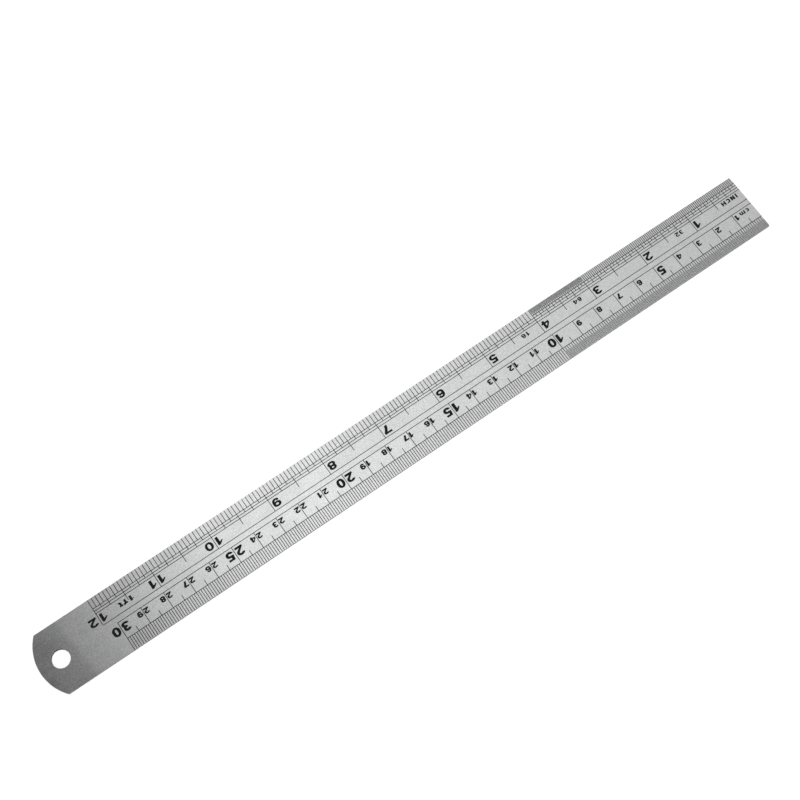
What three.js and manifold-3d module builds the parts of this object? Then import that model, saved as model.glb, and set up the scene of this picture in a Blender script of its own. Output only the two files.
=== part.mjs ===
// Steel ruler: one flat stainless blade with a square zero end, a rounded end with a
// hanging hole, and a metric and an inch scale filled with black enamel.
// Millimetres, +Z up. X runs along the blade from the zero end to the hanging hole,
// Y runs across it from the inch edge to the metric edge.
import * as THREE from 'three';
import Module from 'manifold-3d';

const wasm = await Module();
wasm.setup();

// Blade. The rounded end and its hole are struck a little towards the metric edge.
const LENGTH = 333.0;
const WIDTH = 26.0;
const THICKNESS = 1.0;
const END_RADIUS = 19.67;
const END_SEGMENTS = 44;
const END_OFFSET = 0.2;
const HOLE_FROM_TIP = 9.0;
const HOLE_RADIUS = 3.55;
const HOLE_EDGE_BREAK = 0.2;
const HOLE_SEGMENTS = 48;

// Enamel that fills the marks.
const FILL_HEIGHT = 0.02;
const LINE = 0.25;
const SEAM = 0.0005;

// Metric scale, counted from the zero end. Heights are measured from the inch edge.
const METRIC_LENGTH = 300;
const MM_LINE_Y = 20.72;
const CM_LINE_Y = 13.76;
const HALF_CM_Y = 18.45;
const METRIC_BASELINE = 14.67;
const LARGE_DIGIT_WIDTH = 3.2;
const LARGE_DIGIT_HEIGHT = 3.8;
const SMALL_DIGIT_WIDTH = 2.1;
const SMALL_DIGIT_HEIGHT = 2.35;

// Inch scale. Each height is where the ticks of one fineness end.
const INCH = 25.4;
const INCH_COUNT = 12;
const FINE_INCHES = 4;
const THIRTYSECOND_Y = 2.94;
const SIXTEENTH_Y = 4.03;
const EIGHTH_Y = 5.11;
const QUARTER_Y = 6.2;
const HALF_Y = 8.7;
const INCH_LINE_Y = 11.44;
const INCH_BASELINE = 7.05;
const INCH_DIGIT_WIDTH = 3.3;
const INCH_DIGIT_HEIGHT = 3.45;

// Proportions of the heavy numerals, as shares of the character height.
const STEM = 0.305;
const BAR = 0.22;
const SMALL_STEM = 0.33;
const SMALL_BAR = 0.245;
const ROUNDNESS = 2.25;
const CHAR_SEGMENTS = 20;

const X0 = -LENGTH / 2;
const Y0 = -WIDTH / 2;

function toManifold(geometry) {
  const position = geometry.getAttribute('position');
  const index = geometry.getIndex();
  const count = index ? index.count : position.count;
  const seen = new Map();
  const vertices = [];
  const triangles = [];
  for (let i = 0; i < count; i += 1) {
    const v = index ? index.getX(i) : i;
    const p = [position.getX(v), position.getY(v), position.getZ(v)];
    const key = p.map((c) => Math.round(c * 1e5)).join(',');
    if (!seen.has(key)) {
      seen.set(key, vertices.length / 3);
      vertices.push(...p);
    }
    triangles.push(seen.get(key));
  }
  return new wasm.Manifold(new wasm.Mesh({
    numProp: 3,
    vertProperties: new Float32Array(vertices),
    triVerts: new Uint32Array(triangles),
  }));
}

function toGeometry(solid) {
  const mesh = solid.getMesh();
  const geometry = new THREE.BufferGeometry();
  const points = new Float32Array(mesh.vertProperties);
  geometry.setAttribute('position', new THREE.BufferAttribute(points, 3));
  geometry.setIndex(new THREE.BufferAttribute(new Uint32Array(mesh.triVerts), 1));
  geometry.computeVertexNormals();
  return geometry;
}

// A prism over an outline given as [x, y] points, between two heights.
function prism(points, z0, z1) {
  const shape = new THREE.Shape(points.map(([x, y]) => new THREE.Vector2(x, y)));
  const geometry = new THREE.ExtrudeGeometry(shape, { depth: z1 - z0, bevelEnabled: false });
  geometry.translate(0, 0, z0);
  return toManifold(geometry);
}

// Joins solids two by two, so that the large unions stay quick. The joined solid then
// loses the seams that the pieces leave across its flat faces.
function join(solids) {
  let level = solids;
  while (level.length > 1) {
    const next = [];
    for (let i = 0; i < level.length; i += 2) {
      next.push(i + 1 < level.length ? level[i].add(level[i + 1]) : level[i]);
    }
    level = next;
  }
  return level[0].asOriginal().simplify(SEAM);
}

// Enamel lies on the top face. Outlines are given from the zero end and the inch edge.
function fill(outline) {
  const placed = outline.map(([x, y]) => [x + X0, y + Y0]);
  return prism(placed, THICKNESS, THICKNESS + FILL_HEIGHT);
}

function rectangle(x0, y0, x1, y1) {
  return [[x0, y0], [x1, y0], [x1, y1], [x0, y1]];
}

function tick(x, y0, y1) {
  return fill(rectangle(x - LINE / 2, y0, x + LINE / 2, y1));
}

function longLine(y, length) {
  return fill(rectangle(0, y - LINE / 2, length, y + LINE / 2));
}

// ---- characters -------------------------------------------------------------------
// Every character is a list of outlines that overlap and are joined. w and h are its
// width and height, s and b the thickness of its upright and level strokes.

function ovalPoint(cx, cy, rx, ry, degrees) {
  const c = Math.cos(THREE.MathUtils.degToRad(degrees));
  const s = Math.sin(THREE.MathUtils.degToRad(degrees));
  const x = Math.sign(c) * Math.abs(c) ** (2 / ROUNDNESS);
  const y = Math.sign(s) * Math.abs(s) ** (2 / ROUNDNESS);
  return [cx + rx * x, cy + ry * y];
}

// Part of an oval band, from one angle round to another.
function band(cx, cy, rx, ry, s, b, from, to) {
  const steps = Math.max(3, Math.round((CHAR_SEGMENTS * Math.abs(to - from)) / 360));
  const outer = [];
  const inner = [];
  for (let i = 0; i <= steps; i += 1) {
    const angle = from + ((to - from) * i) / steps;
    outer.push(ovalPoint(cx, cy, rx, ry, angle));
    inner.unshift(ovalPoint(cx, cy, rx - s, ry - b, angle));
  }
  return outer.concat(inner);
}

// A closed oval ring, as two halves that share their ends.
function ring(cx, cy, rx, ry, s, b) {
  return [
    band(cx, cy, rx, ry, s, b, -90, 90),
    band(cx, cy, rx, ry, s, b, 90, 270),
  ];
}

function one(w, h, s) {
  const right = 0.72 * w;
  const left = right - 1.12 * s;
  return [[
    [left, 0], [right, 0], [right, h], [right - 0.8 * s, h],
    [0.42 * left, 0.78 * h], [0, 0.67 * h], [0, 0.52 * h], [left, 0.66 * h],
  ]];
}

function two(w, h, s, b) {
  const ry = 0.315 * h;
  const cy = h - ry;
  const turn = -38;
  const outer = ovalPoint(w / 2, cy, w / 2, ry, turn);
  const inner = ovalPoint(w / 2, cy, w / 2 - s, ry - b, turn);
  return [
    band(w / 2, cy, w / 2, ry, s, b, turn, 172),
    [[0, 0], [0.46 * w, b], outer, inner, [0.08 * w, 0.23 * h], [0, 0.1 * h]],
    rectangle(0, 0, w, 1.08 * b),
  ];
}

function three(w, h, s, b) {
  const low = 0.305 * h;
  const high = (h + b) / 2 - low;
  return [
    band(0.49 * w, h - high, 0.46 * w, high, s, b, -90, 168),
    band(w / 2, low, w / 2, low, s, b, -168, 90),
    rectangle(0.36 * w, 2 * low - b, 0.52 * w, 2 * low),
  ];
}

function four(w, h, s, b) {
  const stem = 0.53 * w;
  const bar = 0.2 * h;
  return [
    rectangle(stem, 0, stem + s, h),
    rectangle(0, bar, w, bar + b),
    [[0, bar], [0.26 * w, bar], [0.26 * w, bar + b], [stem, 0.74 * h], [stem + s, h],
      [stem, h], [0, bar + 1.25 * b]],
  ];
}

function five(w, h, s, b) {
  const ry = 0.325 * h;
  return [
    rectangle(0.14 * w, h - b, 0.93 * w, h),
    [[0.05 * w, 0.44 * h], [0.05 * w + s, 0.425 * h], [0.13 * w + s, h], [0.14 * w, h]],
    band(w / 2, ry, w / 2, ry, s, b, -170, 138),
  ];
}

function six(w, h, s, b) {
  const low = 0.325 * h;
  return [
    band(w / 2, h / 2, w / 2, h / 2, s, b, 28, 180),
    ...ring(w / 2, low, w / 2, low, s, b),
    rectangle(0, low, s, h / 2),
  ];
}

function seven(w, h, s, b) {
  return [
    rectangle(0, h - 1.05 * b, w, h),
    [[0.22 * w, 0], [0.22 * w + 1.1 * s, 0], [0.33 * w + 1.1 * s, 0.33 * h],
      [0.5 * w + 1.1 * s, 0.6 * h], [w, h - 1.05 * b], [w, h], [w - 1.3 * s, h - b],
      [0.44 * w, 0.57 * h], [0.29 * w, 0.3 * h]],
  ];
}

function eight(w, h, s, b) {
  const low = 0.31 * h;
  const high = (h + b) / 2 - low;
  return [
    ...ring(w / 2, low, w / 2, low, s, b),
    ...ring(w / 2, h - high, 0.46 * w, high, s, b),
  ];
}

function halfTurn(outlines, w, h) {
  return outlines.map((outline) => outline.map(([x, y]) => [w - x, h - y]));
}

const DIGITS = {
  0: (w, h, s, b) => ring(w / 2, h / 2, w / 2, h / 2, s, b),
  1: one,
  2: two,
  3: three,
  4: four,
  5: five,
  6: six,
  7: seven,
  8: eight,
  9: (w, h, s, b) => halfTurn(six(w, h, s, b), w, h),
};

const LETTERS = {
  I: (w, h, s) => [rectangle(0, 0, s, h)],
  N: (w, h, s) => [
    rectangle(0, 0, s, h),
    rectangle(w - s, 0, w, h),
    [[0, h], [w - s, 0], [w, 0], [s, h]],
  ],
  C: (w, h, s, b) => [band(w / 2, h / 2, w / 2, h / 2, s, b, 38, 322)],
  H: (w, h, s, b) => [
    rectangle(0, 0, s, h),
    rectangle(w - s, 0, w, h),
    rectangle(0, (h - b) / 2, w, (h + b) / 2),
  ],
  c: (w, h, s, b) => [band(w / 2, h / 2, w / 2, h / 2, s, b, 42, 318)],
  m: (w, h, s, b) => [
    rectangle(0, 0, s, h),
    rectangle((w - s) / 2, 0, (w + s) / 2, h / 2),
    rectangle(w - s, 0, w, h / 2),
    band((w + s) / 4, h / 2, (w + s) / 4, h / 2, s, b, 0, 180),
    band((3 * w - s) / 4, h / 2, (w + s) / 4, h / 2, s, b, 0, 180),
  ],
};

function character(outlines, x, y) {
  return join(outlines.map((o) => fill(o.map(([px, py]) => [px + x, py + y]))));
}

// ---- pieces -----------------------------------------------------------------------

function buildBlade() {
  const cx = LENGTH - END_RADIUS + X0;
  const from = -Math.asin((WIDTH / 2 + END_OFFSET) / END_RADIUS);
  const to = Math.asin((WIDTH / 2 - END_OFFSET) / END_RADIUS);
  const outline = [[X0, Y0]];
  for (let i = 0; i <= END_SEGMENTS; i += 1) {
    const angle = from + ((to - from) * i) / END_SEGMENTS;
    const rise = END_RADIUS * Math.sin(angle) + END_OFFSET;
    outline.push([cx + END_RADIUS * Math.cos(angle), rise]);
  }
  outline.push([X0, -Y0]);
  const blank = prism(outline, 0, THICKNESS);
  return blank.subtract(holeCutter(LENGTH - HOLE_FROM_TIP + X0, END_OFFSET));
}

// The hole's wall with its two broken edges, turned as one profile about the hole axis.
function holeCutter(x, y) {
  const wide = HOLE_RADIUS + HOLE_EDGE_BREAK;
  const reach = 1.0;
  const profile = [
    new THREE.Vector2(0, -reach),
    new THREE.Vector2(wide + reach, -reach),
    new THREE.Vector2(HOLE_RADIUS, HOLE_EDGE_BREAK),
    new THREE.Vector2(HOLE_RADIUS, THICKNESS - HOLE_EDGE_BREAK),
    new THREE.Vector2(wide + reach, THICKNESS + reach),
    new THREE.Vector2(0, THICKNESS + reach),
  ];
  const geometry = new THREE.LatheGeometry(profile, HOLE_SEGMENTS);
  geometry.rotateX(Math.PI / 2);
  geometry.translate(x, y, 0);
  return toManifold(dropSlivers(geometry));
}

// Removes the lathe's zero-area triangles on the axis.
function dropSlivers(geometry) {
  const flat = geometry.toNonIndexed();
  const position = flat.getAttribute('position');
  const kept = [];
  for (let i = 0; i < position.count; i += 3) {
    const corner = [0, 1, 2].map((k) => new THREE.Vector3().fromBufferAttribute(position, i + k));
    if (new THREE.Triangle(...corner).getArea() > 1e-9) {
      corner.forEach((p) => kept.push(p.x, p.y, p.z));
    }
  }
  const cleaned = new THREE.BufferGeometry();
  cleaned.setAttribute('position', new THREE.BufferAttribute(new Float32Array(kept), 3));
  return cleaned;
}

function buildMetricScale() {
  const parts = [longLine(MM_LINE_Y, METRIC_LENGTH), longLine(CM_LINE_Y, METRIC_LENGTH)];
  for (let mm = 1; mm <= METRIC_LENGTH; mm += 1) {
    let end = MM_LINE_Y;
    if (mm % 5 === 0) end = HALF_CM_Y;
    if (mm % 10 === 0) end = CM_LINE_Y;
    parts.push(tick(mm, end, WIDTH));
  }
  return join(parts);
}

// Where the tick that stands n thirty-seconds from zero ends, or null if there is none.
function inchTickEnd(n) {
  if (n % 32 === 0) return INCH_LINE_Y;
  if (n % 16 === 0) return HALF_Y;
  if (n % 8 === 0) return QUARTER_Y;
  if (n % 4 === 0) return EIGHTH_Y;
  if (n % 2 === 0) return SIXTEENTH_Y;
  return n < FINE_INCHES * 32 ? THIRTYSECOND_Y : null;
}

function buildInchScale() {
  const end = INCH_COUNT * INCH;
  const parts = [
    longLine(THIRTYSECOND_Y, FINE_INCHES * INCH),
    longLine(SIXTEENTH_Y, end),
    longLine(EIGHTH_Y, end),
    longLine(QUARTER_Y, end),
    longLine(INCH_LINE_Y, end),
  ];
  for (let n = 1; n <= INCH_COUNT * 32; n += 1) {
    const reach = inchTickEnd(n);
    if (reach !== null) parts.push(tick((n * INCH) / 32, 0, reach));
  }
  return join(parts);
}

const steel = new THREE.MeshStandardMaterial({ color: 0xb9bcbf, metalness: 0.9, roughness: 0.42 });
const enamel = new THREE.MeshStandardMaterial({ color: 0x0d0d0e, metalness: 0.0, roughness: 0.5 });

const group = new THREE.Group();
group.name = 'steel_ruler';

function addPiece(name, solid, material) {
  const mesh = new THREE.Mesh(toGeometry(solid), material);
  mesh.name = name;
  group.add(mesh);
}

// A numeral: its digits stand at the given left edges, all at one size. The small
// ones are relatively heavier.
function addNumeral(name, text, lefts, baseline, w, h) {
  const small = h === SMALL_DIGIT_HEIGHT;
  const stem = (small ? SMALL_STEM : STEM) * h;
  const bar = (small ? SMALL_BAR : BAR) * h;
  const endings = text.length > 1 ? ['_tens', '_units'] : [''];
  [...text].forEach((digit, i) => {
    const outlines = DIGITS[digit](w, h, stem, bar);
    addPiece(name + endings[i], character(outlines, lefts[i], baseline), enamel);
  });
}

// The "1" is narrower than the other digits, so its left edge moves with its side.
function digitWidth(digit, w) {
  return digit === '1' ? 0.72 * w : w;
}

function addLabel(prefix, text, lefts, baseline, widths, h, stem, bar) {
  [...text].forEach((letter, i) => {
    const outlines = LETTERS[letter](widths[i], h, stem * h, bar * h);
    addPiece(`${prefix}_${letter}`, character(outlines, lefts[i], baseline), enamel);
  });
}

addPiece('blade', buildBlade(), steel);
addPiece('metric_scale_fill', buildMetricScale(), enamel);
addPiece('inch_scale_fill', buildInchScale(), enamel);

// Centimetre numerals. One-figure numerals end just before their line; two-figure
// numerals stand on both sides of it. Every fifth one is large.
for (let cm = 1; cm <= METRIC_LENGTH / 10; cm += 1) {
  const large = cm % 5 === 0;
  const text = String(cm);
  const w = large ? LARGE_DIGIT_WIDTH : SMALL_DIGIT_WIDTH;
  const h = large ? LARGE_DIGIT_HEIGHT : SMALL_DIGIT_HEIGHT;
  const x = cm * 10;
  const label = `cm_numeral_${text.padStart(2, '0')}`;
  if (text.length === 1) {
    addNumeral(label, text, [x - 0.65 - digitWidth(text, w)], METRIC_BASELINE, w, h);
  } else if (large) {
    const tens = x - 0.55 - digitWidth(text[0], w);
    addNumeral(label, text, [tens, x + 0.5], METRIC_BASELINE, w, h);
  }
}

// Inch numerals.
for (let inch = 1; inch <= INCH_COUNT; inch += 1) {
  const text = String(inch);
  const w = INCH_DIGIT_WIDTH;
  const h = INCH_DIGIT_HEIGHT;
  const x = inch * INCH;
  const before = text.length === 1 ? 0.7 : 0.75;
  const lefts = [x - before - digitWidth(text[0], w), x + 0.9];
  addNumeral(`inch_numeral_${text.padStart(2, '0')}`, text, lefts, INCH_BASELINE, w, h);
}

const INCH_LEFTS = [2.45, 3.75, 6.05, 8.25];
const INCH_WIDTHS = [0.6, 1.85, 1.9, 1.95];
addLabel('inch_label', 'INCH', INCH_LEFTS, 6.9, INCH_WIDTHS, 1.85, 0.34, 0.245);
addLabel('cm_label', 'cm', [2.4, 4.35], 14.6, [1.6, 2.55], 1.48, 0.37, 0.26);

export default group;
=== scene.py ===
"""Looks of the steel ruler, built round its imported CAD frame.

The blade is one satin stainless strip whose graduations, numerals and labels are etched
a few hundredths of a millimetre deep and filled with black enamel. All outlines below are
in millimetres: x from the square zero end, y from the inch edge.
"""
import math

import bpy
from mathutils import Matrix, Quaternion, Vector
from mathutils.geometry import delaunay_2d_cdt


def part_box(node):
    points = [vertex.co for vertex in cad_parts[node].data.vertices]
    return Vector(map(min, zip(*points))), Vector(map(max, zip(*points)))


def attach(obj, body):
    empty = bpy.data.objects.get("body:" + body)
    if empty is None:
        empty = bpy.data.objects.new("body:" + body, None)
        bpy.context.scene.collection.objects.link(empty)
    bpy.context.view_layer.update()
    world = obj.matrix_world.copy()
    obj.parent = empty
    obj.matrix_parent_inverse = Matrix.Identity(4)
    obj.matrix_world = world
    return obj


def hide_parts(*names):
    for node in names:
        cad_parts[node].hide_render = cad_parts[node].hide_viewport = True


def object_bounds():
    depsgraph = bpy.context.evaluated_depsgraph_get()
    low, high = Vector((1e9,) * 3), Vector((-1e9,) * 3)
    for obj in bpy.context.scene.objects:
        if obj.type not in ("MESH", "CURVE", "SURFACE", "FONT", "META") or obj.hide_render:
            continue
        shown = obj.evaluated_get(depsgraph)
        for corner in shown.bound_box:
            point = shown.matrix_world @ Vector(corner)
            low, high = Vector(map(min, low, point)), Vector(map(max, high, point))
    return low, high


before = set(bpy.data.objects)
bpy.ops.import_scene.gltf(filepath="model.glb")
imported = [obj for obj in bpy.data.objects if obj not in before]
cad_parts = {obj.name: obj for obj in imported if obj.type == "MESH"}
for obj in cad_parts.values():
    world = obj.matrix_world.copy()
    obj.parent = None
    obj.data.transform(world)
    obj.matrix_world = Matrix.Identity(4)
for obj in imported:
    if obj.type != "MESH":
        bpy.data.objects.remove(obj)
cad_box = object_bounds()

# The blade's place in the frame, in metres, and its size in millimetres.
MM = 0.001
BLADE_LO, BLADE_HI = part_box("blade")
X_ZERO = BLADE_LO.x
Y_ZERO = BLADE_LO.y
LENGTH = (BLADE_HI.x - BLADE_LO.x) / MM
WIDTH = (BLADE_HI.y - BLADE_LO.y) / MM
THICKNESS = (BLADE_HI.z - BLADE_LO.z) / MM

# Blade outline. The rounded end and its hole sit a little towards the metric edge.
END_OFFSET = 0.2
END_RADIUS = 19.67
END_SEGMENTS = 96
CORNER_RADIUS = 0.3
CORNER_SEGMENTS = 5
EDGE_BREAK = 0.06
EDGE_STEPS = 4
HOLE_FROM_TIP = 9.0
HOLE_X = LENGTH - HOLE_FROM_TIP
HOLE_Y = WIDTH / 2 + END_OFFSET
HOLE_RADIUS = 3.55
HOLE_EDGE_BREAK = 0.06
HOLE_SEGMENTS = 128

# Etched marks. MARGIN keeps them clear of the rounded edge.
ETCH_DEPTH = 0.06
ENAMEL_DROP = 0.01
ENAMEL_GAP = 0.002
LINE = 0.265
FINE_LINE = 0.205
MARGIN = EDGE_BREAK + 0.02

# The weight of a character is its upright and its level strokes, as parts of its height.
HEAVY = (0.305, 0.22)
SMALL_HEAVY = (0.33, 0.245)
ONE_WIDTH = 0.72
ROUNDNESS = 2.25
CHAR_SEGMENTS = 44

# Metric scale. A digit is (width, height). Gaps lie between a number and its own tick.
METRIC_LENGTH = 300
HALF_MM_LENGTH = 100
MM_LINE_Y = 20.72
CM_LINE_Y = 13.76
HALF_CM_Y = 18.45
HALF_MM_Y = 22.36
METRIC_BASELINE = 14.67
LARGE_DIGIT = (3.2, 3.8)
LARGE_GAPS = (0.55, 0.5)
SMALL_DIGIT = (2.1, 2.35)
SMALL_GAPS = (0.28, 0.45)
SINGLE_GAP = 0.65

# Inch scale, with the y that each kind of tick reaches.
INCH = 25.4
INCH_COUNT = 12
FINE_INCHES = 4
SIXTY_FOURTH_Y = 2.2
THIRTY_SECOND_Y = 2.94
SIXTEENTH_Y = 4.03
EIGHTH_Y = 5.11
QUARTER_Y = 6.2
HALF_Y = 8.7
INCH_LINE_Y = 11.44
INCH_BASELINE = 7.05
INCH_DIGIT = (3.3, 3.45)
INCH_GAPS = (0.7, 0.85)

# Labels: text, left side of each character, baseline, widths, height, weight.
FINENESS_WEIGHT = (0.33, 0.21)
CM_LABEL = ("cm", (2.4, 4.35), 14.6, (1.6, 2.55), 1.5, (0.4, 0.27))
INCH_LABEL = ("INCH", (2.45, 3.75, 6.05, 8.25), 6.9, (0.6, 1.85, 1.9, 1.95), 1.85,
              (0.37, 0.26))
FOOT_LABEL = ("1ft", (290.0, 292.6, 294.65), 7.5, (2.15, 1.75, 1.55), 2.1, (0.41, 0.275))
FINENESS_LABELS = (
    ("32", (30.25, 32.15), 6.95, (1.65, 1.75), 1.85, FINENESS_WEIGHT),
    ("64", (81.25, 83.2), 6.95, (1.65, 1.8), 1.85, FINENESS_WEIGHT),
    ("16", (106.85, 108.65), 6.95, (1.6, 1.75), 1.85, FINENESS_WEIGHT),
)


# ---- characters ---------------------------------------------------------------------
# Each character is a list of overlapping outlines in a box w wide and h high. s and b are
# the thicknesses of its upright and level strokes. The other numbers are parts of the box.

def rectangle(x0, y0, x1, y1):
    return [(x0, y0), (x1, y0), (x1, y1), (x0, y1)]


def oval_point(cx, cy, rx, ry, degrees):
    c, s = math.cos(math.radians(degrees)), math.sin(math.radians(degrees))
    x = math.copysign(abs(c) ** (2 / ROUNDNESS), c)
    y = math.copysign(abs(s) ** (2 / ROUNDNESS), s)
    return (cx + rx * x, cy + ry * y)


def band(cx, cy, rx, ry, s, b, start, end):
    """Part of an oval band, from one angle round to another."""
    steps = max(4, round(CHAR_SEGMENTS * abs(end - start) / 360))
    angles = [start + (end - start) * i / steps for i in range(steps + 1)]
    outer = [oval_point(cx, cy, rx, ry, a) for a in angles]
    inner = [oval_point(cx, cy, rx - s, ry - b, a) for a in reversed(angles)]
    return outer + inner


def ring(cx, cy, rx, ry, s, b):
    return [
        band(cx, cy, rx, ry, s, b, -90, 90),
        band(cx, cy, rx, ry, s, b, 90, 270),
    ]


def zero(w, h, s, b):
    return ring(w / 2, h / 2, w / 2, h / 2, s, b)


def one(w, h, s, b):
    right = ONE_WIDTH * w
    left = right - 1.12 * s
    return [[
        (left, 0), (right, 0), (right, h), (right - 0.8 * s, h),
        (0.42 * left, 0.78 * h), (0, 0.67 * h), (0, 0.52 * h), (left, 0.66 * h),
    ]]


def two(w, h, s, b):
    ry = 0.315 * h
    cy = h - ry
    turn = -38
    outer = oval_point(w / 2, cy, w / 2, ry, turn)
    inner = oval_point(w / 2, cy, w / 2 - s, ry - b, turn)
    return [
        band(w / 2, cy, w / 2, ry, s, b, turn, 172),
        [(0, 0), (0.46 * w, b), outer, inner, (0.08 * w, 0.23 * h), (0, 0.1 * h)],
        rectangle(0, 0, w, 1.08 * b),
    ]


def three(w, h, s, b):
    low = 0.305 * h
    high = (h + b) / 2 - low
    return [
        band(0.49 * w, h - high, 0.46 * w, high, s, b, -90, 168),
        band(w / 2, low, w / 2, low, s, b, -168, 90),
        rectangle(0.36 * w, 2 * low - b, 0.52 * w, 2 * low),
    ]


def four(w, h, s, b):
    stem = 0.53 * w
    bar = 0.2 * h
    return [
        rectangle(stem, 0, stem + s, h),
        rectangle(0, bar, w, bar + b),
        [(0, bar), (0.26 * w, bar), (0.26 * w, bar + b), (stem, 0.74 * h),
         (stem + s, h), (stem, h), (0, bar + 1.25 * b)],
    ]


def five(w, h, s, b):
    ry = 0.325 * h
    return [
        rectangle(0.14 * w, h - b, 0.93 * w, h),
        [(0.05 * w, 0.44 * h), (0.05 * w + s, 0.425 * h), (0.13 * w + s, h), (0.14 * w, h)],
        band(w / 2, ry, w / 2, ry, s, b, -170, 138),
    ]


def six(w, h, s, b):
    low = 0.325 * h
    return [
        band(w / 2, h / 2, w / 2, h / 2, s, b, 28, 180),
        *ring(w / 2, low, w / 2, low, s, b),
        rectangle(0, low, s, h / 2),
    ]


def seven(w, h, s, b):
    return [
        rectangle(0, h - 1.05 * b, w, h),
        [(0.22 * w, 0), (0.22 * w + 1.1 * s, 0), (0.33 * w + 1.1 * s, 0.33 * h),
         (0.5 * w + 1.1 * s, 0.6 * h), (w, h - 1.05 * b), (w, h), (w - 1.3 * s, h - b),
         (0.44 * w, 0.57 * h), (0.29 * w, 0.3 * h)],
    ]


def eight(w, h, s, b):
    low = 0.31 * h
    high = (h + b) / 2 - low
    return [
        *ring(w / 2, low, w / 2, low, s, b),
        *ring(w / 2, h - high, 0.46 * w, high, s, b),
    ]


def nine(w, h, s, b):
    return [[(w - x, h - y) for x, y in outline] for outline in six(w, h, s, b)]


def letter_i(w, h, s, b):
    return [rectangle(0, 0, s, h)]


def letter_n(w, h, s, b):
    return [
        rectangle(0, 0, s, h),
        rectangle(w - s, 0, w, h),
        [(0, h), (w - s, 0), (w, 0), (s, h)],
    ]


def letter_c(w, h, s, b):
    return [band(w / 2, h / 2, w / 2, h / 2, s, b, 40, 320)]


def letter_h(w, h, s, b):
    return [
        rectangle(0, 0, s, h),
        rectangle(w - s, 0, w, h),
        rectangle(0, (h - b) / 2, w, (h + b) / 2),
    ]


def letter_m(w, h, s, b):
    arch = (w + s) / 4
    return [
        rectangle(0, 0, s, h),
        rectangle((w - s) / 2, 0, (w + s) / 2, h / 2),
        rectangle(w - s, 0, w, h / 2),
        band(arch, h / 2, arch, h / 2, s, b, 0, 180),
        band(w - arch, h / 2, arch, h / 2, s, b, 0, 180),
    ]


def letter_f(w, h, s, b):
    left = 0.2 * w
    return [
        rectangle(left, 0, left + s, 0.75 * h),
        rectangle(0, 0.62 * h, 0.9 * w, 0.62 * h + b),
        band(w, 0.72 * h, w - left, 0.28 * h, s, b, 90, 180),
    ]


def letter_t(w, h, s, b):
    left = 0.22 * w
    return [
        rectangle(left, 0.25 * h, left + s, 0.93 * h),
        rectangle(0, 0.62 * h, 0.92 * w, 0.62 * h + b),
        band(w, 0.28 * h, w - left, 0.28 * h, s, b, 180, 270),
    ]


CHARACTERS = {
    "0": zero, "1": one, "2": two, "3": three, "4": four,
    "5": five, "6": six, "7": seven, "8": eight, "9": nine,
    "I": letter_i, "N": letter_n, "C": letter_c, "H": letter_h,
    "c": letter_c, "m": letter_m, "f": letter_f, "t": letter_t,
}


def character(text, x, y, size, weight=HEAVY):
    w, h = size
    stem, bar = weight
    outlines = CHARACTERS[text](w, h, stem * h, bar * h)
    return [[(px + x, py + y) for px, py in outline] for outline in outlines]


def advance(digit, w):
    return ONE_WIDTH * w if digit == "1" else w


# ---- marks --------------------------------------------------------------------------

def tick(x, y0, y1, line=LINE):
    return rectangle(x - line / 2, y0, x + line / 2, y1)


def long_line(y, length):
    return rectangle(MARGIN, y - LINE / 2, length, y + LINE / 2)


def metric_scale():
    marks = [long_line(MM_LINE_Y, METRIC_LENGTH), long_line(CM_LINE_Y, METRIC_LENGTH)]
    for mm in range(1, METRIC_LENGTH + 1):
        end = CM_LINE_Y if mm % 10 == 0 else HALF_CM_Y if mm % 5 == 0 else MM_LINE_Y
        marks.append(tick(mm, end, WIDTH - MARGIN))
    return marks


def half_mm_ticks():
    return [
        tick(mm + 0.5, HALF_MM_Y, WIDTH - MARGIN, FINE_LINE)
        for mm in range(HALF_MM_LENGTH)
    ]


def inch_scale():
    end = INCH_COUNT * INCH
    marks = [long_line(THIRTY_SECOND_Y, FINE_INCHES * INCH)]
    for y in (SIXTEENTH_Y, EIGHTH_Y, QUARTER_Y, INCH_LINE_Y):
        marks.append(long_line(y, end))
    reaches = ((32, INCH_LINE_Y), (16, HALF_Y), (8, QUARTER_Y), (4, EIGHTH_Y), (2, SIXTEENTH_Y))
    for n in range(1, INCH_COUNT * 32 + 1):
        reach = next((y for step, y in reaches if n % step == 0), THIRTY_SECOND_Y)
        if reach > THIRTY_SECOND_Y or n < FINE_INCHES * 32:
            marks.append(tick(n * INCH / 32, MARGIN, reach))
    return marks


def sixty_fourth_ticks():
    first = (FINE_INCHES - 1) * 64
    return [
        tick(n * INCH / 64, MARGIN, SIXTY_FOURTH_Y, FINE_LINE)
        for n in range(first + 1, FINE_INCHES * 64, 2)
    ]


def cm_numerals():
    marks = []
    for cm in range(1, METRIC_LENGTH // 10 + 1):
        text, x = str(cm), 10 * cm
        size, gaps, weight = SMALL_DIGIT, SMALL_GAPS, SMALL_HEAVY
        if cm % 5 == 0:
            size, gaps, weight = LARGE_DIGIT, LARGE_GAPS, HEAVY
        before = SINGLE_GAP if len(text) == 1 else gaps[0]
        left = x - before - advance(text[0], size[0])
        marks += character(text[0], left, METRIC_BASELINE, size, weight)
        if len(text) == 2:
            marks += character(text[1], x + gaps[1], METRIC_BASELINE, size, weight)
    return marks


def inch_numerals():
    marks = []
    for inch in range(1, INCH_COUNT + 1):
        text, x = str(inch), inch * INCH
        left = x - INCH_GAPS[0] - advance(text[0], INCH_DIGIT[0])
        marks += character(text[0], left, INCH_BASELINE, INCH_DIGIT)
        if len(text) == 2:
            marks += character(text[1], x + INCH_GAPS[1], INCH_BASELINE, INCH_DIGIT)
    return marks


def label(text, lefts, baseline, widths, h, weight):
    marks = []
    for letter, x, w in zip(text, lefts, widths):
        marks += character(letter, x, baseline, (w, h), weight)
    return marks


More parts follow.
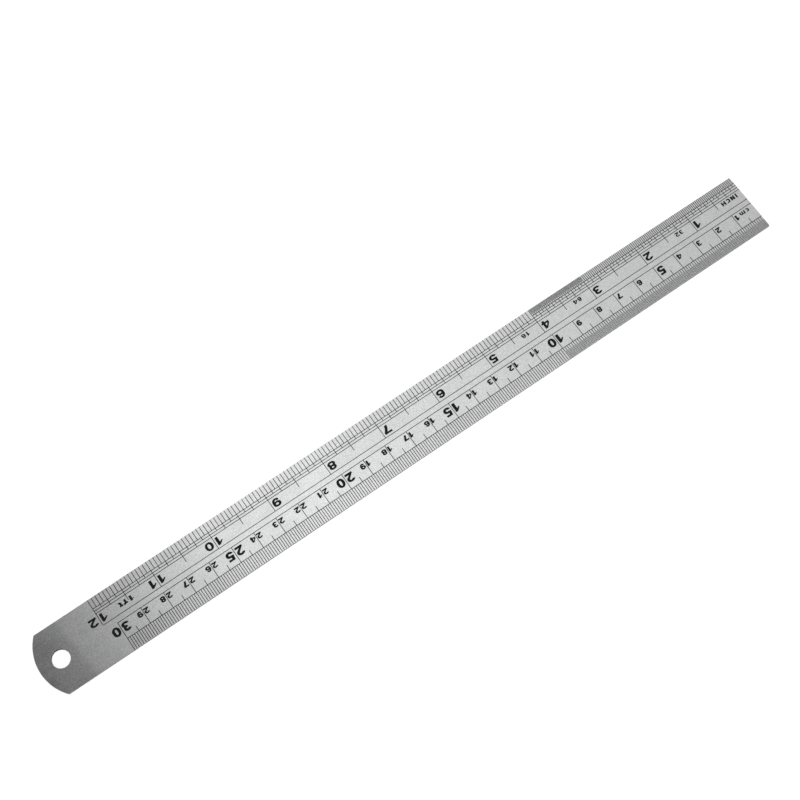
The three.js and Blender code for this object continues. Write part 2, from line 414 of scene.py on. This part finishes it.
MARK_GROUPS = {
    "metric_scale_enamel": metric_scale(),
    "half_millimetre_ticks_enamel": half_mm_ticks(),
    "inch_scale_enamel": inch_scale(),
    "sixty_fourth_ticks_enamel": sixty_fourth_ticks(),
    "cm_numerals_enamel": cm_numerals(),
    "inch_numerals_enamel": inch_numerals(),
    "cm_label_enamel": label(*CM_LABEL),
    "inch_label_enamel": label(*INCH_LABEL),
    "fineness_labels_enamel": [mark for row in FINENESS_LABELS for mark in label(*row)],
    "foot_label_enamel": label(*FOOT_LABEL),
}


# ---- blade outline ------------------------------------------------------------------

def arc(cx, cy, radius, start, end, segments):
    angles = [start + (end - start) * i / segments for i in range(segments + 1)]
    return [(cx + radius * math.cos(a), cy + radius * math.sin(a)) for a in angles]


def blade_outline():
    """Counter-clockwise from the corner of the inch edge and the zero end."""
    low = -math.asin(HOLE_Y / END_RADIUS)
    high = math.asin((WIDTH - HOLE_Y) / END_RADIUS)
    inch_corner = arc(CORNER_RADIUS, CORNER_RADIUS, CORNER_RADIUS,
                      math.pi, 1.5 * math.pi, CORNER_SEGMENTS)
    round_end = arc(LENGTH - END_RADIUS, HOLE_Y, END_RADIUS, low, high, END_SEGMENTS)
    metric_corner = arc(CORNER_RADIUS, WIDTH - CORNER_RADIUS, CORNER_RADIUS,
                        0.5 * math.pi, math.pi, CORNER_SEGMENTS)
    return inch_corner + round_end + metric_corner


def inset(points, distance):
    """The outline moved inwards, mitred at its corners."""
    moved = []
    count = len(points)
    for i, (x, y) in enumerate(points):
        before = Vector((x - points[i - 1][0], y - points[i - 1][1])).normalized()
        ahead = points[(i + 1) % count]
        after = Vector((ahead[0] - x, ahead[1] - y)).normalized()
        n1, n2 = Vector((-before.y, before.x)), Vector((-after.y, after.x))
        step = (n1 + n2) / (1 + n1.dot(n2)) * distance
        moved.append((x + step.x, y + step.y))
    return moved


def hole_circle(radius):
    turns = [2 * math.pi * i / HOLE_SEGMENTS for i in range(HOLE_SEGMENTS)]
    return [(HOLE_X + radius * math.cos(t), HOLE_Y + radius * math.sin(t)) for t in turns]


# ---- meshes -------------------------------------------------------------------------

# Outline points sit on a fine grid, so that shared points agree exactly. Vertices are
# shared on a finer one. Both are in steps per millimetre.
GRID = 1024
WELD = 4096
SAME_POINT = 1e-5


def snap(point):
    return (round(point[0] * GRID) / GRID, round(point[1] * GRID) / GRID)


def counter_clockwise(points):
    area = sum(
        x0 * y1 - x1 * y0
        for (x0, y0), (x1, y1) in zip(points, points[1:] + points[:1])
    )
    return points if area > 0 else points[::-1]


def triangulate(outlines):
    """Cuts the plane along every outline.

    Gives the points, the triangles and, for each triangle, the outlines it lies in.
    """
    lookup, points, faces = {}, [], []
    for outline in outlines:
        face = []
        for p in map(snap, counter_clockwise(outline)):
            if p not in lookup:
                lookup[p] = len(points)
                points.append(Vector(p))
            if not face or face[-1] != lookup[p]:
                face.append(lookup[p])
        faces.append(face)
    out, _, triangles, _, _, owners = delaunay_2d_cdt(
        points, [], faces, 0, SAME_POINT)
    return [(p.x, p.y) for p in out], triangles, [set(o) for o in owners]


class MeshBuilder:
    """Collects vertices, faces and which faces are smooth."""

    def __init__(self):
        self.vertices, self.faces, self.smooth, self.lookup = [], [], [], {}

    def vertex(self, x, y, z):
        key = (round(x * WELD), round(y * WELD), round(z * WELD))
        if key not in self.lookup:
            self.lookup[key] = len(self.vertices)
            self.vertices.append((X_ZERO + x * MM, Y_ZERO + y * MM, BLADE_LO.z + z * MM))
        return self.lookup[key]

    def face(self, corners, smooth=False):
        ids = [self.vertex(*c) for c in corners]
        if len(set(ids)) == len(ids):
            self.faces.append(ids)
            self.smooth.append(smooth)

    def strip(self, loops):
        """Quads between rings of points of equal count, each (points, z)."""
        for (ring_a, za), (ring_b, zb) in zip(loops, loops[1:]):
            count = len(ring_a)
            for i in range(count):
                j = (i + 1) % count
                self.face([(*ring_a[i], za), (*ring_b[i], zb), (*ring_b[j], zb),
                           (*ring_a[j], za)], smooth=True)

    def finish(self, name, material):
        mesh = bpy.data.meshes.new(name)
        mesh.from_pydata(self.vertices, [], self.faces)
        mesh.polygons.foreach_set("use_smooth", self.smooth)
        mesh.materials.append(material)
        mesh.update()
        piece = bpy.data.objects.new(name, mesh)
        bpy.context.scene.collection.objects.link(piece)
        return piece


def edge_profile(radius):
    """(inset, drop) pairs round a quarter circle, from the face to the side."""
    turns = [math.pi / 2 * i / EDGE_STEPS for i in range(EDGE_STEPS + 1)]
    return [(radius * (1 - math.sin(t)), radius * (1 - math.cos(t))) for t in turns]


def sealed_prism(builder, points, triangles, z0, z1):
    """Top, bottom and side walls over a set of triangles."""
    edges = {}
    for a, b, c in triangles:
        builder.face([(*points[a], z1), (*points[b], z1), (*points[c], z1)])
        builder.face([(*points[c], z0), (*points[b], z0), (*points[a], z0)])
        for edge in ((a, b), (b, c), (c, a)):
            edges[edge] = True
    for a, b in edges:
        if (b, a) not in edges:
            builder.face([(*points[a], z0), (*points[b], z0), (*points[b], z1),
                          (*points[a], z1)])


def sort_face(outline, hole):
    """Cuts the marked face into bare steel and the area of each group of marks."""
    outlines, owner_of = [outline, hole], ["blade", "hole"]
    for name, marks in MARK_GROUPS.items():
        outlines += marks
        owner_of += [name] * len(marks)
    points, triangles, owners = triangulate(outlines)

    bare, marked = [], {name: [] for name in MARK_GROUPS}
    for triangle, inside in zip(triangles, owners):
        names = {owner_of[i] for i in inside}
        if "hole" in names or "blade" not in names:
            continue
        group = min(names - {"blade"}, default=None)
        (marked[group] if group else bare).append(triangle)
    return points, bare, marked


def add_marked_face(builder, points, bare, marked):
    """The bare face, the floors of the etched marks, and the walls between them."""
    etched_z = THICKNESS - ETCH_DEPTH
    bare_edges = set()
    for a, b, c in bare:
        builder.face([(*points[i], THICKNESS) for i in (a, b, c)])
        bare_edges.update(((a, b), (b, c), (c, a)))
    for group in marked.values():
        for a, b, c in group:
            builder.face([(*points[i], etched_z) for i in (a, b, c)])
            for p, q in ((a, b), (b, c), (c, a)):
                if (q, p) in bare_edges:
                    builder.face([(*points[p], THICKNESS), (*points[q], THICKNESS),
                                  (*points[q], etched_z), (*points[p], etched_z)])


def add_sides(builder, outline, face_outline):
    """The side of the blade with its upper and lower edges rounded."""
    profile = edge_profile(EDGE_BREAK)
    rings = [(inset(outline, i), THICKNESS - drop) for i, drop in profile]
    rings += [(inset(outline, i), drop) for i, drop in reversed(profile)]
    rings[0], rings[-1] = (face_outline, THICKNESS), (face_outline, 0.0)
    builder.strip(rings)


def add_hole_wall(builder, face_hole):
    """The wall of the hole with both its edges rounded, from the underside up."""
    rings = [(hole_circle(HOLE_RADIUS + i), drop) for i, drop in edge_profile(HOLE_EDGE_BREAK)]
    rings += [(circle, THICKNESS - drop) for circle, drop in reversed(rings)]
    rings[0], rings[-1] = (face_hole, 0.0), (face_hole, THICKNESS)
    builder.strip(rings)


def add_underside(builder, outline, hole):
    points, triangles, owners = triangulate([outline, hole])
    for (a, b, c), inside in zip(triangles, owners):
        if inside == {0}:
            builder.face([(*points[i], 0.0) for i in (c, b, a)])


def build_object(steel, enamel):
    """Gives the blade and the enamel in each group of its marks."""
    outline = blade_outline()
    face_outline = [snap(p) for p in inset(outline, EDGE_BREAK)]
    face_hole = [snap(p) for p in hole_circle(HOLE_RADIUS + HOLE_EDGE_BREAK)]
    points, bare, marked = sort_face(face_outline, face_hole)

    builder = MeshBuilder()
    add_marked_face(builder, points, bare, marked)
    add_sides(builder, outline, face_outline)
    add_hole_wall(builder, face_hole)
    add_underside(builder, face_outline, face_hole)
    blade = builder.finish("blade_etched", steel)

    pieces = {}
    low, high = THICKNESS - ETCH_DEPTH + ENAMEL_GAP, THICKNESS - ENAMEL_DROP
    for name, group in marked.items():
        builder = MeshBuilder()
        sealed_prism(builder, points, group, low, high)
        pieces[name] = builder.finish(name, enamel)
    return blade, pieces


# ---- materials ----------------------------------------------------------------------

class Nodes:
    """Short-hand for building the node tree of a material or a world. A socket's value is
    a number, a colour or another node's output."""

    def __init__(self, owner):
        owner.use_nodes = True
        self.owner = owner
        self.tree = owner.node_tree
        self.tree.nodes.clear()

    def add(self, kind, settings=None, **inputs):
        node = self.tree.nodes.new(kind)
        for key, value in (settings or {}).items():
            setattr(node, key, value)
        for key, value in inputs.items():
            self.set(node, key.replace("_", " "), value)
        return node

    def set(self, node, socket, value):
        target = node.inputs[socket]
        if isinstance(value, bpy.types.NodeSocket):
            self.tree.links.new(value, target)
        else:
            target.default_value = value

    def math(self, operation, a, b=0.0, c=0.0):
        node = self.tree.nodes.new("ShaderNodeMath")
        node.operation = operation
        for i, value in enumerate((a, b, c)):
            self.set(node, i, value)
        return node.outputs[0]

    def noise(self, vector, scale, detail=2.0, roughness=0.5):
        node = self.add("ShaderNodeTexNoise", Vector=vector, Scale=scale, Detail=detail,
                        Roughness=roughness)
        return node.outputs["Fac"]

    def scaled(self, vector, factors):
        node = self.add("ShaderNodeVectorMath", {"operation": "MULTIPLY"})
        self.set(node, 0, vector)
        self.set(node, 1, factors)
        return node.outputs[0]

    def remap(self, value, from_min, from_max, to_min, to_max):
        """Maps one range on to another, and holds the ends beyond it."""
        node = self.tree.nodes.new("ShaderNodeMapRange")
        node.clamp = True
        for socket, v in zip(("Value", "From Min", "From Max", "To Min", "To Max"),
                             (value, from_min, from_max, to_min, to_max)):
            self.set(node, socket, v)
        return node.outputs[0]

    def mix_colour(self, factor, a, b):
        node = self.tree.nodes.new("ShaderNodeMix")
        node.data_type = "RGBA"
        for socket, value in ((0, factor), (6, a), (7, b)):
            self.set(node, socket, value)
        return node.outputs[2]

    def principled(self, sockets):
        """Ends a material with its shader. Gives the material."""
        shader = self.add("ShaderNodeBsdfPrincipled")
        for socket, value in sockets.items():
            self.set(shader, socket, value)
        self.add("ShaderNodeOutputMaterial", Surface=shader.outputs[0])
        return self.owner


# Tones of the steel.
STEEL_GRAIN = ((0.625, 0.63, 0.635, 1.0), (0.695, 0.7, 0.702, 1.0))
STEEL_SMUDGED = (0.56, 0.562, 0.56, 1.0)
STEEL_WORN = (0.74, 0.742, 0.74, 1.0)
STEEL_MOTTLED = (0.45, 0.452, 0.455, 1.0)
STEEL_HANDLED = (0.46, 0.462, 0.46, 1.0)
# Painted shade: the sides and the outer part of the rounded edges are drawn near black, for the
# dark shaded line along the blade's edges.
SIDE_PAINTED_SHADE = (0.085, 0.086, 0.088, 1.0)
# Painted shade: the hole's wall is drawn darkest of all, and its reflection is tinted down, for
# the shade inside the hole.
HOLE_PAINTED_SHADE = (0.02, 0.02, 0.02, 1.0)
WHITE = (1.0, 1.0, 1.0, 1.0)
HOLE_SHADE_TINT = (0.1, 0.1, 0.1, 1.0)

# Where those tones lie. Flatness is 1 on a level face and 0 on an upright one. The reaches
# are in millimetres, outwards from the hole and inwards from a long edge.
SIDE_FLATNESS = (0.4, 0.9)
HOLE_FLATNESS = (0.9, 0.995)
HOLE_REACH = 0.5
WORN_REACH = (0.5, 0.05)

# The steel's satin reflection, with what the sides add to its roughness, and the mirror-like
# reflection that lies over it on the faces.
SATIN_ROUGHNESS = (0.165, 0.2)
SIDE_ROUGHNESS = 0.2
GLAZE_WEIGHT = 0.85
GLAZE_ROUGHNESS = 0.03
GLAZE_IOR = 2.2

# Tones of the enamel and the floor.
ENAMEL_DEEP = (0.006, 0.006, 0.0065, 1.0)
ENAMEL_RUBBED = (0.018, 0.018, 0.0185, 1.0)
ENAMEL_DUSTY = (0.035, 0.035, 0.034, 1.0)
FLOOR_TONES = ((0.90, 0.90, 0.90, 1.0), (0.92, 0.92, 0.92, 1.0))
FLOOR_GLOW = 0.5

RELIEF = 0.000004  # Height of the surface texture, in metres.


def steel_masks(n, place):
    """Where the steel is on a side or on the hole's wall, the places that get painted shade, or
    on a worn long edge.
    """
    normal = n.add("ShaderNodeTexCoord").outputs["Normal"]
    tilt = n.add("ShaderNodeSeparateXYZ", Vector=normal)
    flatness = n.math("ABSOLUTE", tilt.outputs["Z"])
    side = n.remap(flatness, *SIDE_FLATNESS, 1.0, 0.0)

    from_hole = n.add("ShaderNodeVectorMath", {"operation": "DISTANCE"})
    n.set(from_hole, 0, n.scaled(place, (1.0, 1.0, 0.0)))
    n.set(from_hole, 1, (X_ZERO + HOLE_X * MM, Y_ZERO + HOLE_Y * MM, 0.0))
    reach = (HOLE_RADIUS + HOLE_REACH) * MM
    near_hole = n.math("LESS_THAN", from_hole.outputs["Value"], reach)
    hole_wall = n.math("MULTIPLY", n.remap(flatness, *HOLE_FLATNESS, 1.0, 0.0), near_hole)

    axes = n.add("ShaderNodeSeparateXYZ", Vector=place)
    across = n.math("ABSOLUTE", axes.outputs["Y"])
    start, end = ((WIDTH / 2 - inwards) * MM for inwards in WORN_REACH)
    long_edge = n.remap(across, start, end, 0.0, 1.0)
    return side, hole_wall, long_edge


def steel_material():
    """Satin stainless: a fine blasted grain, faint drag lines along the blade, soft handling
    marks and long edges polished by use. The sides and the hole's wall are dull and are
    darkened with painted shade, the hole's wall most, with its reflection tinted down as well."""
    n = Nodes(bpy.data.materials.new("satin_stainless"))
    place = n.add("ShaderNodeTexCoord").outputs["Object"]
    side, hole_wall, long_edge = steel_masks(n, place)
    grain = n.noise(place, 9000.0, detail=3.0, roughness=0.6)
    speck = n.noise(place, 3000.0)
    drag = n.noise(n.scaled(place, (60.0, 5200.0, 600.0)), 1.0, roughness=0.6)
    smudge = n.noise(place, 55.0, detail=3.0, roughness=0.55)
    patch = n.noise(n.scaled(place, (0.35, 1.0, 1.0)), 260.0, detail=3.0, roughness=0.6)
    mottle = n.noise(place, 1700.0, detail=3.0, roughness=0.75)
    handled = n.noise(n.scaled(place, (0.8, 1.0, 1.0)), 210.0, detail=4.0, roughness=0.6)

    worn = n.math("MULTIPLY", long_edge, n.remap(patch, 0.4, 0.65, 0.2, 1.0))
    tone = n.mix_colour(n.remap(grain, 0.3, 0.7, 0.0, 1.0), *STEEL_GRAIN)
    for amount, target in (
        (n.remap(smudge, 0.42, 0.68, 0.0, 0.3), STEEL_SMUDGED),
        (n.math("MULTIPLY", worn, 0.3), STEEL_WORN),
        (n.remap(mottle, 0.38, 0.62, 0.75, 0.0), STEEL_MOTTLED),
        (n.remap(handled, 0.45, 0.7, 0.0, 0.22), STEEL_HANDLED),
        # Painted shade: the sides and rounded edges darkened near black.
        (side, SIDE_PAINTED_SHADE),
        # Painted shade: the hole's wall darkened further, near black.
        (hole_wall, HOLE_PAINTED_SHADE),
    ):
        tone = n.mix_colour(amount, tone, target)

    rough = n.remap(smudge, 0.35, 0.7, *SATIN_ROUGHNESS)
    rough = n.math("ADD", rough, n.remap(patch, 0.35, 0.7, -0.012, 0.02))
    rough = n.math("ADD", rough, n.remap(drag, 0.3, 0.7, -0.012, 0.012))
    rough = n.math("ADD", rough, n.math("MULTIPLY", side, SIDE_ROUGHNESS))

    height = n.math("ADD", n.math("MULTIPLY", grain, 0.6), n.math("MULTIPLY", speck, 0.5))
    height = n.math("ADD", height, n.math("MULTIPLY", drag, 0.35))
    bump = n.add("ShaderNodeBump", Strength=0.35, Distance=RELIEF, Height=height)

    # The glaze is taken off the sides and the hole's wall, which deepens their painted shade.
    dull = n.math("MAXIMUM", side, hole_wall)
    return n.principled({
        "Metallic": 1.0,
        "Base Color": tone,
        "Roughness": rough,
        "Normal": bump.outputs[0],
        # Painted shade: the reflection on the hole's wall is tinted down to a tenth.
        "Specular Tint": n.mix_colour(hole_wall, WHITE, HOLE_SHADE_TINT),
        "Coat Weight": n.remap(dull, 0.0, 1.0, GLAZE_WEIGHT, 0.0),
        "Coat Roughness": GLAZE_ROUGHNESS,
        "Coat IOR": GLAZE_IOR,
    })


def enamel_material():
    """Baked black enamel: slightly matt, with a fine orange peel and small pale wear."""
    n = Nodes(bpy.data.materials.new("black_enamel"))
    place = n.add("ShaderNodeTexCoord").outputs["Object"]
    peel = n.noise(place, 5200.0)
    wear = n.noise(place, 1400.0, detail=3.0, roughness=0.6)
    dust = n.noise(place, 90.0)
    tone = n.mix_colour(n.remap(wear, 0.55, 0.75, 0.0, 1.0), ENAMEL_DEEP, ENAMEL_RUBBED)
    tone = n.mix_colour(n.remap(dust, 0.5, 0.75, 0.0, 0.25), tone, ENAMEL_DUSTY)
    bump = n.add("ShaderNodeBump", Strength=0.3, Distance=RELIEF, Height=peel)
    return n.principled({
        "Base Color": tone,
        "Roughness": n.remap(wear, 0.3, 0.7, 0.45, 0.62),
        "Specular IOR Level": 0.12,
        "Normal": bump.outputs[0],
    })


def floor_material():
    """A matt pale table, lit a little from within so that no shadow shows."""
    n = Nodes(bpy.data.materials.new("pale_floor"))
    place = n.add("ShaderNodeTexCoord").outputs["Object"]
    return n.principled({
        "Base Color": n.mix_colour(n.noise(place, 900.0, detail=3.0), *FLOOR_TONES),
        "Roughness": 0.85,
        "Specular IOR Level": 0.1,
        "Emission Color": WHITE,
        "Emission Strength": FLOOR_GLOW,
    })


# ---- the object ---------------------------------------------------------------------

steel = steel_material()
enamel = enamel_material()
blade, enamel_pieces = build_object(steel, enamel)

STANDS_FOR = {
    "metric_scale_enamel": ["metric_scale_fill"],
    "inch_scale_enamel": ["inch_scale_fill"],
    "cm_numerals_enamel": [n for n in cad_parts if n.startswith("cm_numeral")],
    "inch_numerals_enamel": [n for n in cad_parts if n.startswith("inch_numeral")],
    "cm_label_enamel": [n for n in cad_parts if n.startswith("cm_label")],
    "inch_label_enamel": [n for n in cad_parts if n.startswith("inch_label")],
}

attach(blade, "root")
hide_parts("blade")
for name, piece in enamel_pieces.items():
    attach(piece, "root")
    if name in STANDS_FOR:
        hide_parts(*STANDS_FOR[name])


# ---- stage, light and camera --------------------------------------------------------

# The overhead panel's (direction, brightness) pairs. The direction is -1 towards the zero
# end and 1 towards the hanging end. PANEL_SKEW turns the panel a little across the blade.
PANEL_SKEW = 0.12
PANEL_LEVELS = (
    (-1.0, 0.63), (-0.6, 0.7), (-0.452, 0.755), (-0.312, 0.95), (-0.205, 1.14),
    (-0.153, 1.36), (-0.111, 1.35), (-0.073, 1.15), (-0.023, 0.68), (-0.002, 0.54),
    (0.0065, 0.46), (0.0165, 0.48), (0.32, 0.8), (0.5, 1.0), (0.75, 0.9), (1.0, 0.6),
)

# Beyond the panel is a dark gap, and the panel goes on beyond the gap. These are the
# directions where each change starts and ends.
PANEL_TO_GAP = (0.0165, 0.0185)
GAP_TO_PANEL = (0.3, 0.35)
GAP_SHADE = 0.05

# The room is even near the horizon, and gives way to the panel between these heights,
# where 1 is straight up.
HORIZON = 0.9
HORIZON_TO_PANEL = (0.55, 0.75)

# Floor, in metres.
FLOOR_HALF = 3.0
FLOOR_CLEARANCE = 0.00002

# Softbox, in metres and watts.
SOFTBOX_PLACE = (0.0, 1.3, 1.8)
SOFTBOX_SIZE = 2.0
SOFTBOX_POWER = 7.0

# Camera: its place and the point it looks at, both in the blade's own millimetres with z up
# from the underside, its roll in degrees, its lens in millimetres and its range in metres.
CAMERA_PLACE = (286.45, 177.73, 604.86 + THICKNESS)
CAMERA_AIM = (164.46, 1.88, THICKNESS)
CAMERA_ROLL = -0.187
LENS = 74.625
SENSOR = 36.0
CLIP = (0.01, 20.0)


def add_floor():
    half = FLOOR_HALF
    mesh = bpy.data.meshes.new("floor")
    mesh.from_pydata([(-half, -half, 0), (half, -half, 0), (half, half, 0), (-half, half, 0)],
                     [], [(0, 1, 2, 3)])
    mesh.materials.append(floor_material())
    floor = bpy.data.objects.new("floor", mesh)
    floor.location.z = cad_box[0].z - FLOOR_CLEARANCE
    bpy.context.scene.collection.objects.link(floor)


def panel_ramp(n, along, peak):
    """The panel's levels as parts of their peak."""
    ramp = n.add("ShaderNodeValToRGB", Fac=n.remap(along, -1.0, 1.0, 0.0, 1.0))
    elements = ramp.color_ramp.elements
    while len(elements) > 1:
        elements.remove(elements[-1])
    for i, (x, level) in enumerate(PANEL_LEVELS):
        element = elements[0] if i == 0 else elements.new((x + 1) / 2)
        element.position = (x + 1) / 2
        element.color = (level / peak, level / peak, level / peak, 1.0)
    return ramp.outputs["Color"]


def set_world():
    """A soft studio, even and pale all round, with a broad overhead panel that brightens,
    fades, then breaks off sharply at a dark gap."""
    world = bpy.data.worlds.new("studio")
    bpy.context.scene.world = world
    n = Nodes(world)
    place = n.add("ShaderNodeTexCoord").outputs["Generated"]
    direction = n.add("ShaderNodeSeparateXYZ", Vector=place)
    skewed = n.add("ShaderNodeVectorMath", {"operation": "DOT_PRODUCT"})
    n.set(skewed, 0, place)
    n.set(skewed, 1, (1.0, PANEL_SKEW, 0.0))
    along = skewed.outputs["Value"]

    peak = max(level for _, level in PANEL_LEVELS)
    gap = peak * GAP_SHADE
    lit = n.math("MAXIMUM", n.remap(along, *PANEL_TO_GAP, peak, gap),
                 n.remap(along, *GAP_TO_PANEL, gap, peak))
    overhead = n.math("MULTIPLY", panel_ramp(n, along, peak), lit)
    level = n.remap(direction.outputs["Z"], *HORIZON_TO_PANEL, HORIZON, overhead)
    background = n.add("ShaderNodeBackground", Color=WHITE, Strength=level)
    n.add("ShaderNodeOutputWorld", Surface=background.outputs[0])


def add_aimed(name, data, place, aim, roll=0.0):
    """A light or camera at a place, looking at a point, both in metres."""
    aimed = bpy.data.objects.new(name, data)
    look = (Vector(aim) - Vector(place)).to_track_quat("-Z", "Y")
    aimed.location = place
    aimed.rotation_mode = "QUATERNION"
    aimed.rotation_quaternion = look @ Quaternion((0.0, 0.0, 1.0), math.radians(roll))
    bpy.context.scene.collection.objects.link(aimed)
    return aimed


def add_softbox():
    light = bpy.data.lights.new("softbox", "AREA")
    light.shape = "SQUARE"
    light.size = SOFTBOX_SIZE
    light.energy = SOFTBOX_POWER
    add_aimed("softbox", light, SOFTBOX_PLACE, (0.0, 0.0, 0.0))


def add_camera():
    """Stands above the hanging end, out on the metric side, and looks down on the blade."""
    data = bpy.data.cameras.new("camera")
    data.sensor_width = SENSOR
    data.lens = LENS
    data.clip_start, data.clip_end = CLIP
    place, aim = (BLADE_LO + Vector(p) * MM for p in (CAMERA_PLACE, CAMERA_AIM))
    bpy.context.scene.camera = add_aimed("camera", data, place, aim, CAMERA_ROLL)


add_floor()
set_world()
add_softbox()
add_camera()
bpy.context.scene.view_settings.view_transform = "Standard"
